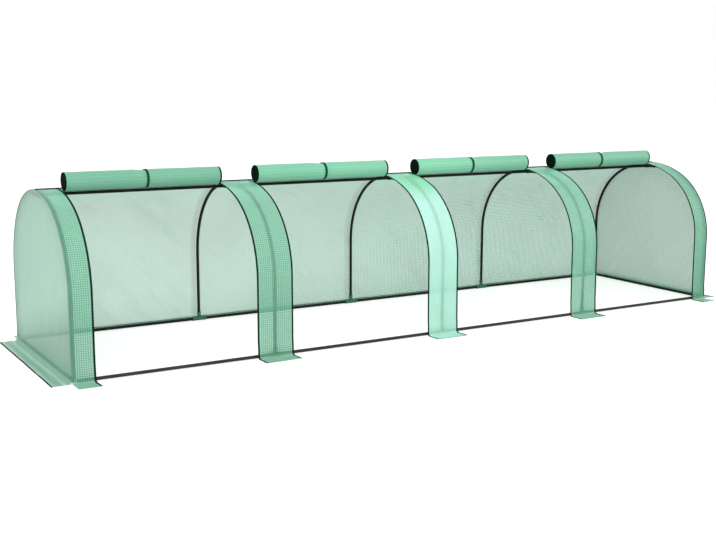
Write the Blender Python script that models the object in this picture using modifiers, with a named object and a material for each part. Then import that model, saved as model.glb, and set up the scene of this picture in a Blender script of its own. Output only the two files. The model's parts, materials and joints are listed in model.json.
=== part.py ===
"""Row cover tunnel: a low steel-hooped garden tunnel with four roll-up windows.

Origin at the middle of the tunnel on the ground, +X along the ridge, -Y towards the
windowed front, +Z up. All sizes are in metres.
"""
import math

import bmesh
import bpy
from mathutils import Vector

# Frame: hoops of round tube pushed into moulded joints
BAY_COUNT = 4
HOOP_PITCH = 0.995
HOOP_HALF_WIDTH = 0.483
CROWN_HALF_WIDTH = 0.069
RIDGE_HEIGHT = 0.802
BEND_STEPS = 10
TUBE_RADIUS = 0.008
TUBE_WALL = 0.0008

# Moulded joints
SOCKET_WALL = 0.002
SOCKET_REACH = 0.040
SOCKET_FLOOR = 0.012
SOCKET_FIT = 0.0003
HUB_RISE = 0.0007
ROUND_SIDES = 10

# Clearances between neighbours
SEAT_GAP = 0.0003
CUT_OVERRUN = 0.004

# Cover: film sheets over the frame
COVER_THICKNESS = 0.001
CREST_RISE = 0.024
BAND_HALF_WIDTH = 0.090
SKIRT_REACH = 0.094
FLARE_HEIGHT = 0.030

# Zip tapes along both edges of each window
TAPE_WIDTH = 0.007

# Windows, rolled up and tied at the ridge
ROLL_RADIUS = 0.0435
ROLL_PITCH = 0.0049
ROLL_CORE_RADIUS = 0.008
ROLL_STEPS_PER_TURN = 12
ROLL_SETBACK = 0.050
TIE_WIDTH = 0.022
TIE_THICKNESS = 0.0015
TIE_STEPS = 14

# Path of a roll from the ridge to the ground
SHOULDER_ANGLE = math.radians(47)
SHOULDER_CLEARANCE = 0.004
FOOT_CLEARANCE = 0.003

# Places worked out from the sizes above
TUNNEL_LENGTH = BAY_COUNT * HOOP_PITCH
SOCKET_RADIUS = TUBE_RADIUS + SOCKET_FIT + SOCKET_WALL
HUB_RADIUS = SOCKET_RADIUS + HUB_RISE
BASE_AXIS_HEIGHT = HUB_RADIUS
BEND_RADIUS = HOOP_HALF_WIDTH - CROWN_HALF_WIDTH
BEND_CENTRE = (CROWN_HALF_WIDTH, RIDGE_HEIGHT - BEND_RADIUS)
CREST_HEIGHT = RIDGE_HEIGHT + CREST_RISE
TUBE_END = SOCKET_FLOOR + SEAT_GAP
COVER_END = TUNNEL_LENGTH / 2 + HUB_RADIUS
PANEL_FACE = COVER_END + SEAT_GAP

FRONT = -1
BACK = 1

# Surface: red, green and blue from 0 to 1, roughness, metallic
STEEL_GREEN = ((0.006, 0.022, 0.014), 0.42, 0.3)
JOINT_BLACK = ((0.008, 0.012, 0.010), 0.50, 0.0)
JOINT_GREEN = ((0.030, 0.130, 0.065), 0.50, 0.0)
FILM_GREEN = ((0.270, 0.620, 0.440), 0.45, 0.0)
FILM_PALE = ((0.420, 0.640, 0.530), 0.45, 0.0)
TAPE_BLACK = ((0.004, 0.020, 0.014), 0.60, 0.0)
TIE_GREEN = ((0.006, 0.060, 0.035), 0.70, 0.0)


def clear_scene():
    for old in list(bpy.data.objects):
        bpy.data.objects.remove(old, do_unlink=True)


def new_collection(name):
    collection = bpy.data.collections.new(name)
    bpy.context.scene.collection.children.link(collection)
    return collection


def new_material(name, surface):
    colour, roughness, metallic = surface
    material = bpy.data.materials.new(name)
    material.use_nodes = True
    shader = material.node_tree.nodes["Principled BSDF"]
    shader.inputs["Base Color"].default_value = (*colour, 1)
    shader.inputs["Roughness"].default_value = roughness
    shader.inputs["Metallic"].default_value = metallic
    material.diffuse_color = (*colour, 1)
    return material


def place_object(name, mesh, surface, collection, location=(0, 0, 0), turn=0.0):
    """Put a mesh in the scene as a named sub-part with its own material."""
    part = bpy.data.objects.new(name, mesh)
    part.location = location
    part.rotation_euler = (0, 0, turn)
    collection.objects.link(part)
    mesh.shade_smooth()
    mesh.set_sharp_from_angle(angle=math.radians(40))
    if not mesh.materials:
        mesh.materials.append(None)
    slot = part.material_slots[0]
    slot.link = "OBJECT"
    slot.material = new_material(name, surface)
    return part


def evaluated_mesh(source, name):
    """The mesh that an object shows with its modifiers, as a mesh of its own."""
    graph = bpy.context.evaluated_depsgraph_get()
    mesh = bpy.data.meshes.new_from_object(source.evaluated_get(graph))
    mesh.name = name
    return mesh


def add_solidify(part, thickness, offset=-1.0):
    wall = part.modifiers.new("Wall", "SOLIDIFY")
    wall.thickness = thickness
    wall.offset = offset
    wall.use_even_offset = True
    return wall


# Outlines across the tunnel, as (y, z) points


def even_angles(start, end, steps):
    return [start + (end - start) * step / steps for step in range(steps + 1)]


def arc_points(centre, radius, angles):
    """Points on an arc, angles measured from +Y towards +Z."""
    return [(centre[0] + radius * math.cos(angle), centre[1] + radius * math.sin(angle))
            for angle in angles]


def tangent_bearing(point, centre, radius, turn):
    """Bearing from a circle's centre to where a line from point touches the circle."""
    away = Vector(point) - Vector(centre)
    spread = math.acos(radius / away.length)
    return math.atan2(away.y, away.x) + turn * spread


def mirrored(points, side):
    return [(side * y, z) for y, z in points]


def hoop_outline(side):
    """Centre line of half a hoop: leg, quarter bend and short crown."""
    points = [(HOOP_HALF_WIDTH, BASE_AXIS_HEIGHT + TUBE_END)]
    points += arc_points(BEND_CENTRE, BEND_RADIUS, even_angles(0, math.pi / 2, BEND_STEPS))
    points.append((TUBE_END, RIDGE_HEIGHT))
    return mirrored(points, side)


def cover_outline(side, skirt=True):
    """Outer face of the film, from the crest down to the ground and out along the skirt."""
    radius = BEND_RADIUS + TUBE_RADIUS + SEAT_GAP + COVER_THICKNESS
    leg = HOOP_HALF_WIDTH + TUBE_RADIUS + SEAT_GAP + COVER_THICKNESS
    foot = HOOP_HALF_WIDTH + HUB_RADIUS + SEAT_GAP + COVER_THICKNESS
    lift_off = tangent_bearing((0, CREST_HEIGHT), BEND_CENTRE, radius, -1)
    bend_step = math.pi / 2 / BEND_STEPS
    bend_angles = [bend_step * step for step in range(int(lift_off / bend_step), -1, -1)]
    flare_foot = BASE_AXIS_HEIGHT + SOCKET_REACH + SEAT_GAP
    points = [(SEAT_GAP / 2, CREST_HEIGHT)]
    points += arc_points(BEND_CENTRE, radius, [lift_off] + bend_angles)
    points.append((leg, flare_foot + FLARE_HEIGHT))
    points.append((foot, flare_foot))
    if skirt:
        points.append((foot, COVER_THICKNESS))
        points.append((foot + SKIRT_REACH, COVER_THICKNESS))
    else:
        points.append((foot, 0))
    return mirrored(points, side)


def front_slope():
    """Unit vectors down the front slope beside the crest, and out of it."""
    crest = Vector(cover_outline(FRONT)[0])
    lift_off = Vector(cover_outline(FRONT)[1])
    down = (lift_off - crest).normalized()
    out = Vector((down.y, -down.x))
    return crest, down, out


def roll_centre():
    """Axis of a rolled window, which lies on the front slope just below the crest."""
    crest, down, out = front_slope()
    return crest + down * ROLL_SETBACK + out * (SEAT_GAP + ROLL_RADIUS)


def roll_outline():
    """Outer face of a rolled sheet, from its tail at the crest to its innermost turn."""
    crest, down, out = front_slope()
    centre = roll_centre()
    turns = (ROLL_RADIUS - ROLL_CORE_RADIUS) / ROLL_PITCH
    steps = round(turns * ROLL_STEPS_PER_TURN)
    tail = crest + out * SEAT_GAP
    points = [tuple(tail)]
    for step in range(steps + 1):
        angle = turns * 2 * math.pi * step / steps
        radius = ROLL_RADIUS - ROLL_PITCH * angle / (2 * math.pi)
        point = centre + radius * (down * math.sin(angle) - out * math.cos(angle))
        points.append(tuple(point))
    return points


def tie_outline():
    """Inner face of the strap: over the tail, round the roll and back under the tail."""
    crest, down, out = front_slope()
    centre = roll_centre()
    radius = ROLL_RADIUS + SEAT_GAP
    setback = TAPE_WIDTH + 2 * SEAT_GAP
    over = crest + down * setback + out * (2 * SEAT_GAP + COVER_THICKNESS)
    under = crest + down * setback
    start = tangent_bearing(tuple(over), tuple(centre), radius, 1)
    end = math.atan2(-out.y, -out.x)
    if end < start:
        end += 2 * math.pi
    points = [tuple(over)]
    points += arc_points(centre, radius, even_angles(start, end, TIE_STEPS))
    points.append(tuple(under))
    return points


def circle_through(first, second, third):
    """Centre and radius of the circle through three points."""
    ax, ay = second[0] - first[0], second[1] - first[1]
    bx, by = third[0] - first[0], third[1] - first[1]
    scale = 2 * (ax * by - ay * bx)
    first_square = ax * ax + ay * ay
    second_square = bx * bx + by * by
    x = (by * first_square - ay * second_square) / scale
    y = (ax * second_square - bx * first_square) / scale
    return (first[0] + x, first[1] + y), math.hypot(x, y)


def roll_path():
    """Hinge centre and turn of a roll that goes from the ridge to the ground outside the film."""
    top = tuple(roll_centre())
    film = TUBE_RADIUS + SEAT_GAP + COVER_THICKNESS
    reach = BEND_RADIUS + film + ROLL_RADIUS + SHOULDER_CLEARANCE
    shoulder = mirrored(arc_points(BEND_CENTRE, reach, [SHOULDER_ANGLE]), FRONT)[0]
    foot_reach = HOOP_HALF_WIDTH + HUB_RADIUS + SEAT_GAP + COVER_THICKNESS + ROLL_RADIUS
    foot = (-foot_reach - FOOT_CLEARANCE, COVER_THICKNESS + ROLL_RADIUS + FOOT_CLEARANCE)
    centre, radius = circle_through(top, shoulder, foot)
    start = math.atan2(top[1] - centre[1], top[0] - centre[0])
    end = math.atan2(foot[1] - centre[1], foot[0] - centre[0])
    return centre, (end - start) % (2 * math.pi)


# Sub-parts


def round_tube(name, points, collection, surface):
    """Hollow tube along a line of points."""
    curve = bpy.data.curves.new(name, "CURVE")
    curve.dimensions = "3D"
    curve.bevel_depth = TUBE_RADIUS
    curve.bevel_resolution = (ROUND_SIDES - 4) // 2
    curve.use_fill_caps = False
    spline = curve.splines.new("POLY")
    spline.points.add(len(points) - 1)
    for target, point in zip(spline.points, points):
        target.co = (*point, 1)
    guide = bpy.data.objects.new(name + "_line", curve)
    collection.objects.link(guide)
    mesh = evaluated_mesh(guide, name)
    bpy.data.objects.remove(guide, do_unlink=True)
    tube = place_object(name, mesh, surface, collection)
    add_solidify(tube, TUBE_WALL)
    return tube


def film_sheet(name, outline, edges, collection, surface, thickness=COVER_THICKNESS, offset=-1.0):
    """Sheet that follows an outline across the tunnel, between two edges along it.

    With four edges it is a frame round an opening: it is whole only from the outline's
    first point to its second, and its middle stays open below that.
    """
    shape = bmesh.new()
    rows = [[shape.verts.new((x, y, z)) for x in edges] for y, z in outline]
    for row, (upper, lower) in enumerate(zip(rows, rows[1:])):
        for column in range(len(edges) - 1):
            if row == 0 or column != 1:
                corners = (upper[column], lower[column], lower[column + 1], upper[column + 1])
                shape.faces.new(corners)
    loose = [corner for corner in shape.verts if not corner.link_faces]
    bmesh.ops.delete(shape, geom=loose, context="VERTS")
    mesh = bpy.data.meshes.new(name)
    shape.to_mesh(mesh)
    shape.free()
    sheet = place_object(name, mesh, surface, collection)
    add_solidify(sheet, thickness, offset)
    return sheet


def round_bar(name, direction, start, end, radius, collection):
    """Short cylinder from start to end along a direction from the joint's centre."""
    shape = bmesh.new()
    bmesh.ops.create_cone(shape, cap_ends=True, segments=ROUND_SIDES, radius1=radius,
                          radius2=radius, depth=end - start)
    mesh = bpy.data.meshes.new(name)
    shape.to_mesh(mesh)
    shape.free()
    bar = bpy.data.objects.new(name, mesh)
    axis = Vector(direction)
    bar.rotation_euler = Vector((0, 0, 1)).rotation_difference(axis).to_euler()
    bar.location = axis * (start + end) / 2
    collection.objects.link(bar)
    return bar


def add_boolean(part, other, operation):
    cut = part.modifiers.new(operation.title(), "BOOLEAN")
    cut.operation = operation
    cut.solver = "EXACT"
    cut.object = other


def joint_mesh(name, directions, cutters):
    """Moulded joint: a hub with one bored socket in each direction."""
    hub = round_bar(name + "_hub", (0, 0, 1), -HUB_RADIUS, HUB_RADIUS, HUB_RADIUS, cutters)
    tools = [hub]
    for index, direction in enumerate(directions):
        arm = round_bar(f"{name}_arm_{index}", direction, 0, SOCKET_REACH, SOCKET_RADIUS, cutters)
        add_boolean(hub, arm, "UNION")
        tools.append(arm)
    bore_radius = (TUBE_RADIUS + SOCKET_FIT) / math.cos(math.pi / ROUND_SIDES)
    for index, direction in enumerate(directions):
        bore = round_bar(f"{name}_bore_{index}", direction, SOCKET_FLOOR,
                         SOCKET_REACH + CUT_OVERRUN, bore_radius, cutters)
        add_boolean(hub, bore, "DIFFERENCE")
        tools.append(bore)
    bpy.context.view_layer.update()
    mesh = evaluated_mesh(hub, name)
    for tool in tools:
        bpy.data.objects.remove(tool, do_unlink=True)
    return mesh


def hoop_positions():
    return [HOOP_PITCH * (index - BAY_COUNT / 2) for index in range(BAY_COUNT + 1)]


def make_hoops(parts):
    for number, x in enumerate(hoop_positions(), 1):
        for side, word in ((FRONT, "front"), (BACK, "back")):
            points = [(x, y, z) for y, z in hoop_outline(side)]
            round_tube(f"hoop_{number}_{word}", points, parts, STEEL_GREEN)


def make_rails(parts):
    positions = hoop_positions()
    for number, (left, right) in enumerate(zip(positions, positions[1:]), 1):
        ends = (left + TUBE_END, right - TUBE_END)
        runs = (("ridge_tube", 0, RIDGE_HEIGHT),
                ("front_rail", FRONT * HOOP_HALF_WIDTH, BASE_AXIS_HEIGHT),
                ("back_rail", BACK * HOOP_HALF_WIDTH, BASE_AXIS_HEIGHT))
        for word, y, z in runs:
            points = [(x, y, z) for x in ends]
            round_tube(f"{word}_{number}", points, parts, STEEL_GREEN)
    reach = HOOP_HALF_WIDTH - TUBE_END
    for word, x in (("left", positions[0]), ("right", positions[-1])):
        points = [(x, y, BASE_AXIS_HEIGHT) for y in (-reach, reach)]
        round_tube(f"end_rail_{word}", points, parts, STEEL_GREEN)


def make_joints(parts, cutters):
    along = (1, 0, 0)
    against = (-1, 0, 0)
    to_back = (0, 1, 0)
    to_front = (0, -1, 0)
    upwards = (0, 0, 1)
    ridge_end = joint_mesh("ridge_end_joint", (along, to_back, to_front), cutters)
    ridge_cross = joint_mesh("ridge_cross_joint", (along, against, to_back, to_front), cutters)
    corner = joint_mesh("corner_joint", (along, to_back, upwards), cutters)
    rail_tee = joint_mesh("rail_tee_joint", (along, against, upwards), cutters)
    positions = hoop_positions()
    last = len(positions)
    for number, x in enumerate(positions, 1):
        is_end = number in (1, last)
        half_turn = math.pi if number == last else 0
        ridge_mesh = ridge_end if is_end else ridge_cross
        place_object(f"ridge_joint_{number}", ridge_mesh, JOINT_BLACK, parts,
                     (x, 0, RIDGE_HEIGHT), half_turn)
        for side, word in ((FRONT, "front"), (BACK, "back")):
            place = (x, side * HOOP_HALF_WIDTH, BASE_AXIS_HEIGHT)
            base_mesh = corner if is_end else rail_tee
            quarter_turns = {(1, FRONT): 0, (last, FRONT): 1, (last, BACK): 2, (1, BACK): 3}
            turn = quarter_turns.get((number, side), 0) * math.pi / 2
            place_object(f"{word}_joint_{number}", base_mesh, JOINT_GREEN, parts, place, turn)


def make_cover(parts):
    film_sheet("cover_back", cover_outline(BACK)[::-1], (-COVER_END, COVER_END), parts, FILM_PALE)
    for number, x in enumerate(hoop_positions(), 1):
        start = max(x - BAND_HALF_WIDTH, -COVER_END)
        end = min(x + BAND_HALF_WIDTH, COVER_END)
        film_sheet(f"cover_front_{number}", cover_outline(FRONT), (start, end), parts, FILM_GREEN)


def make_end_panel(word, side, parts):
    """Flat arched end of film with a skirt turned out along the ground."""
    outline = cover_outline(BACK, skirt=False) + cover_outline(FRONT, skirt=False)[::-1]
    face = side * (PANEL_FACE + COVER_THICKNESS)
    shape = bmesh.new()
    rim = [shape.verts.new((face, y, max(z, COVER_THICKNESS))) for y, z in outline]
    shape.faces.new(rim)
    foot_edge = min(shape.edges, key=lambda edge: sum(corner.co.z for corner in edge.verts))
    skirt = bmesh.ops.extrude_edge_only(shape, edges=[foot_edge])
    moved = [item for item in skirt["geom"] if isinstance(item, bmesh.types.BMVert)]
    bmesh.ops.translate(shape, vec=(side * SKIRT_REACH, 0, 0), verts=moved)
    bmesh.ops.recalc_face_normals(shape, faces=shape.faces)
    arch = max(shape.faces, key=lambda item: len(item.verts))
    if arch.normal.x * side < 0:
        bmesh.ops.reverse_faces(shape, faces=shape.faces)
    mesh = bpy.data.meshes.new(f"end_panel_{word}")
    shape.to_mesh(mesh)
    shape.free()
    panel = place_object(f"end_panel_{word}", mesh, FILM_PALE, parts)
    add_solidify(panel, COVER_THICKNESS)


def make_zip_tapes(parts):
    """A tape along the top of each window and down both sides to the edge of the skirt."""
    crest, down, _ = front_slope()
    outline = cover_outline(FRONT)
    outline.insert(1, tuple(crest + down * TAPE_WIDTH))
    positions = hoop_positions()
    for number, (left, right) in enumerate(zip(positions, positions[1:]), 1):
        start = left + BAND_HALF_WIDTH + SEAT_GAP
        end = right - BAND_HALF_WIDTH - SEAT_GAP
        edges = (start, start + TAPE_WIDTH, end - TAPE_WIDTH, end)
        film_sheet(f"zip_tape_{number}", outline, edges, parts, TAPE_BLACK)


def least_roll_gap():
    """Least gap between one turn of the roll and the next, measured on its points."""
    points = [Vector(point) for point in roll_outline()[1:]]
    least = ROLL_RADIUS
    for index, point in enumerate(points):
        for other in points[index + ROLL_STEPS_PER_TURN // 2:]:
            least = min(least, (point - other).length)
    return least - COVER_THICKNESS


def make_windows(parts):
    """Each rolled sheet and its tie hang from an empty on the axis that they turn about."""
    (hinge_y, hinge_z), turn = roll_path()
    positions = hoop_positions()
    for number, (left, right) in enumerate(zip(positions, positions[1:]), 1):
        middle = (left + right) / 2
        half_length = HOOP_PITCH / 2 - BAND_HALF_WIDTH - SEAT_GAP
        axis = bpy.data.objects.new(f"window_axis_{number}", None)
        axis.location = (middle, hinge_y, hinge_z)
        parts.objects.link(axis)
        roll = film_sheet(f"rolled_window_{number}", roll_outline(), (-half_length, half_length),
                          parts, FILM_GREEN, offset=1.0)
        tie = film_sheet(f"window_tie_{number}", tie_outline(), (-TIE_WIDTH / 2, TIE_WIDTH / 2),
                         parts, TIE_GREEN, thickness=TIE_THICKNESS, offset=1.0)
        for piece in (roll, tie):
            piece.parent = axis
            piece.location = (0, -hinge_y, -hinge_z)
    print("window axis", round(hinge_y, 4), round(hinge_z, 4), "turn", round(math.degrees(turn), 2))
    print("roll centre", [round(value, 4) for value in roll_centre()])
    print("least gap between turns", round(least_roll_gap(), 5))


def main():
    clear_scene()
    parts = new_collection("row_cover_tunnel")
    cutters = new_collection("cutters")
    make_hoops(parts)
    make_rails(parts)
    make_joints(parts, cutters)
    make_cover(parts)
    make_end_panel("left", -1, parts)
    make_end_panel("right", 1, parts)
    make_zip_tapes(parts)
    make_windows(parts)


main()
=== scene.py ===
"""Dress the row cover tunnel: film, moulded joints, zips and straps over its CAD frame.

Metres. Origin at the middle of the tunnel on the ground, +X along the ridge, -Y towards
the windowed front, +Z up.
"""
import json
import math
from bisect import bisect_right

import bpy
from bpy.props import FloatProperty, FloatVectorProperty, IntProperty, PointerProperty
from mathutils import Matrix, Vector, noise

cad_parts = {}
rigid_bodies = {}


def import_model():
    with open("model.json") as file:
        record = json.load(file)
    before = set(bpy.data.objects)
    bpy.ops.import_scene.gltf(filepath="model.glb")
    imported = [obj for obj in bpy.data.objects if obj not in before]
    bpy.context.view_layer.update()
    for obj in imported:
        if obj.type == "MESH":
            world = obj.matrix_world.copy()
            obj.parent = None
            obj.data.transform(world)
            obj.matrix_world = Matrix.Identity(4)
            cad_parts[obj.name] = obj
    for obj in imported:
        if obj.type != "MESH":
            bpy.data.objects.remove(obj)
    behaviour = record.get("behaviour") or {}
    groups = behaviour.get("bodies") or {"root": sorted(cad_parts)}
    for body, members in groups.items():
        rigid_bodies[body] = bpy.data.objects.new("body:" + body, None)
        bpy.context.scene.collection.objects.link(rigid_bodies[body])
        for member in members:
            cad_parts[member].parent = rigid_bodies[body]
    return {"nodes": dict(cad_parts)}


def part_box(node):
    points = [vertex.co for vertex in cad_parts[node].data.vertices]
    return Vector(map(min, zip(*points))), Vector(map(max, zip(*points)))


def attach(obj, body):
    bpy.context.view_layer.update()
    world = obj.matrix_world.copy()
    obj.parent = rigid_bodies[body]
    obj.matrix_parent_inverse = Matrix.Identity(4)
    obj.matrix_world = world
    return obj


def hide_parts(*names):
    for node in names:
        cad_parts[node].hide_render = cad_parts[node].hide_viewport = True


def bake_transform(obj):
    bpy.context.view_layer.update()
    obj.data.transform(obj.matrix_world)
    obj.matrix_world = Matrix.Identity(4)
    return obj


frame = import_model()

bl_info = {
    "name": "Row cover tunnel",
    "version": (1, 0, 0),
    "blender": (4, 5, 0),
    "location": "View3D > Sidebar > Row Cover",
    "description": "Dresses the CAD frame of a row cover tunnel with film, joints and zips",
    "category": "Object",
}

FRONT, BACK = -1, 1
LEFT, RIGHT = -1, 1
SIDE_WORDS = {FRONT: "front", BACK: "back"}
END_WORDS = {LEFT: "left", RIGHT: "right"}
ALONG, AGAINST = Vector((1, 0, 0)), Vector((-1, 0, 0))
TO_BACK, TO_FRONT = Vector((0, 1, 0)), Vector((0, -1, 0))
UP = Vector((0, 0, 1))
BLACK, WHITE = (0, 0, 0), (1, 1, 1)
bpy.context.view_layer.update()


def node_middle(node):
    low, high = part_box(node)
    return (low + high) / 2


RIDGE_PLACE = node_middle("ridge_tube_1")
RAIL_PLACE = node_middle("back_rail_1")
BAY_LENGTH = node_middle("ridge_joint_3").x - node_middle("ridge_joint_2").x


# Sizes and colours that a user may change


def length(description, default):
    return FloatProperty(description=description, default=default, unit="LENGTH", precision=4)


def colour(description, *default):
    return FloatVectorProperty(description=description, default=default, subtype="COLOR",
                               min=0, max=1)


class TunnelSizes(bpy.types.PropertyGroup):
    """Sizes of the tunnel, in metres."""

    bay_count: IntProperty(description="Bays between hoops", default=4, min=1)
    hoop_pitch: length("Distance from hoop to hoop", BAY_LENGTH)
    half_width: length("Middle to a hoop's leg", RAIL_PLACE.y)
    crown_half_width: length("Straight top of a hoop half", 0.069)
    ridge_height: length("Ground to the ridge tube's axis", RIDGE_PLACE.z)
    base_height: length("Ground to the base rails' axis", RAIL_PLACE.z)
    tube_radius: length("Outer radius of the steel tube", 0.008)
    tube_wall: length("Thickness of the steel", 0.0008)
    tube_end: length("Joint's centre to the end of a tube in it", 0.0123)
    socket_radius: length("Outer radius of a joint's socket", 0.0101)
    socket_reach: length("Joint's centre to a socket's mouth", 0.040)
    collar_radius: length("Lip round a socket's mouth", 0.0109)
    collar_width: length("Length of that lip", 0.005)
    web_reach: length("Joint's centre to the end of a stiffening web", 0.027)
    web_thickness: length("Thickness of a stiffening web", 0.003)
    film_gap: length("Tube to the middle of the film", 0.0008)
    crest_height: length("Ground to the film's crest", 0.8255)
    cover_end: length("Middle of the tunnel to the cover's end", 2.001)
    skirt_edge: length("Middle to the edge of the long skirts", 0.5893)
    end_skirt: length("Reach of the skirts at both ends", 0.094)
    band_half_width: length("Half the film band over a hoop", 0.090)
    tape_width: length("Zip tape along a window", 0.007)
    tape_lap: length("Zip tape lying over a band's edge", 0.002)
    tooth_pitch: length("Distance between zip teeth", 0.005)
    roll_radius: length("Outer radius of a rolled window", 0.0468)
    roll_pitch: length("Distance from turn to turn in a roll", 0.0054)
    roll_core: length("Radius of a roll's innermost turn", 0.008)
    roll_setback: length("Crest to where a roll rests", 0.050)
    roll_half_length: length("Half the length of a roll", 0.3960)
    strap_width: length("Width of the strap round a roll", 0.011)
    thread_pitch: length("Distance between the film's threads", 0.0104)
    fold_radius: length("Bend of the film where it meets the ground", 0.016)


class TunnelColours(bpy.types.PropertyGroup):
    """Colours of the tunnel's finishes."""

    steel: colour("Coated steel tube", 0.003, 0.008, 0.005)
    # The front ground rails get a lighter, greyer copy of the steel: painted light, for the light
    # that falls on them outside the film
    worn_steel: colour("Front ground rails, greyed by use", 0.026, 0.024, 0.025)
    joint_black: colour("Moulded joints at the ridge", 0.002, 0.007, 0.004)
    joint_green: colour("Moulded joints on the ground", 0.022, 0.110, 0.068)
    band: colour("Film over the hoops", 0.335, 0.820, 0.563)
    band_top: colour("Film of the bands near the crest", 0.384, 1.000, 0.710)
    band_low: colour("Film of the bands near the ground", 0.268, 0.719, 0.478)
    # The middle band's film, paler and clearer, with its own top: painted light where the light
    # falls on that band
    bright_band: colour("Film over the middle hoop", 0.580, 1.000, 0.865)
    bright_top: colour("Top of the film over the middle hoop", 0.312, 0.858, 0.540)
    wall: colour("Film of the back, at the left", 0.533, 0.813, 0.669)
    # Painted shade: the back film darkens to the right, away from the light at the left
    wall_right: colour("Film of the back, at the right", 0.303, 0.630, 0.468)
    # Painted shadow of the ground rail: a dark line on the back film just above the rail
    wall_foot: colour("Soiled line of the back film at the ground rails", 0.110, 0.240, 0.170)
    # Painted shade: the back film darkens near the crest, under the roof
    wall_top: colour("Film of the back near the crest", 0.258, 0.781, 0.530)
    end_left: colour("Film of the left end", 0.438, 0.685, 0.560)
    # The right end is the same film as the left, drawn greyer: painted shade, as it faces away
    # from the light
    end_right: colour("Film of the right end", 0.500, 0.675, 0.584)
    # Painted shade at the foot of the left end, darker towards its front
    end_foot: colour("Film at the foot of the left end", 0.240, 0.430, 0.328)
    skirt: colour("Film of the skirts at both ends", 0.230, 0.492, 0.352)
    # Paler bands across the skirts: painted light on the bulge beside the rail, and paler film out
    # at the edge
    skirt_edge: colour("Paler film along the skirts", 0.430, 0.725, 0.580)
    binding: colour("Bound edge of the left end", 0.090, 0.300, 0.195)
    roll: colour("Film rolled up at the ridge", 0.176, 0.470, 0.315)
    # Paler film of the rolls: painted light, strongest on the roll ends near the middle hoop
    bright_roll: colour("Film of the palest roll", 0.228, 0.640, 0.412)
    tape: colour("Zip tapes and seams", 0.0003, 0.0150, 0.0062)
    # The wound tape is drawn darker than the same tape on the zips: painted shade on the roll's
    # ends
    coil: colour("Zip tapes wound in a roll's ends", 0.0010, 0.0095, 0.0060)
    strap: colour("Straps round the rolled windows", 0.001, 0.044, 0.015)


# Materials


class Wire:
    """An output of a material's node, on which sums are written as Python expressions."""

    def __init__(self, tree, output=None):
        self.tree = tree
        self.output = output

    def add(self, kind, settings=(), values=(), output=0):
        """Add a node: its settings first, then the values or links of its inputs."""
        node = self.tree.nodes.new(kind)
        for name, setting in dict(settings).items():
            setattr(node, name, setting)
        for name, value in dict(values).items():
            entry = node.inputs[name]
            if isinstance(value, Wire):
                self.tree.links.new(value.output, entry)
            else:
                entry.default_value = (*value, 1) if entry.type == "RGBA" else value
        return Wire(self.tree, node.outputs[output] if node.outputs else None)

    def pick(self, output):
        return Wire(self.tree, self.output.node.outputs[output])

    def math(self, operation, other):
        return self.add("ShaderNodeMath", {"operation": operation}, {0: self, 1: other})

    def __add__(self, other):
        return self.math("ADD", other)

    def __mul__(self, other):
        return self.math("MULTIPLY", other)

    def between(self, low, high, start=0.0, end=1.0):
        """Eased from start to end as this value goes from low to high."""
        return self.add("ShaderNodeMapRange", {"interpolation_type": "SMOOTHSTEP"},
                        {0: self, 1: low, 2: high, 3: start, 4: end})

    def speckle(self, place, scale, detail=2.0, roughness=0.5):
        return self.add("ShaderNodeTexNoise", values={"Vector": place, "Scale": scale,
                                                      "Detail": detail, "Roughness": roughness})

    def colours(self, share, first, second):
        """Colour between two, by a share from 0 to 1."""
        return self.add("ShaderNodeMix", {"data_type": "RGBA"},
                        {0: share, 6: first, 7: second}, 2)

    def shaders(self, share, first, second):
        return self.add("ShaderNodeMixShader", values={0: share, 1: first, 2: second})

    def bumped(self, height, strength, distance):
        return self.add("ShaderNodeBump", values={"Height": height, "Strength": strength,
                                                  "Distance": distance})

    def principled(self, shade, rough, normal=None, specular=0.5, **others):
        values = {"Base Color": shade, "Roughness": rough, "Specular IOR Level": specular}
        if normal:
            values["Normal"] = normal
        return self.add("ShaderNodeBsdfPrincipled", values={**values, **others})

    def show(self, surface, output="ShaderNodeOutputMaterial"):
        self.add(output, values={"Surface": surface})


def cleared(owner):
    """A wire to add nodes with, in the emptied tree of a material or a world."""
    owner.use_nodes = True
    owner.node_tree.nodes.clear()
    return Wire(owner.node_tree)


def new_material(name, place):
    """A material, a wire to add its nodes with, and the place on the piece."""
    material = bpy.data.materials.new(name)
    wire = cleared(material)
    return material, wire, wire.add("ShaderNodeTexCoord", output=place)


def mixed_shade(first, second, share):
    return [low + (high - low) * share for low, high in zip(first, second)]


def toned(shade, factor, offset):
    return [value * factor + offset for value in shade]


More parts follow.
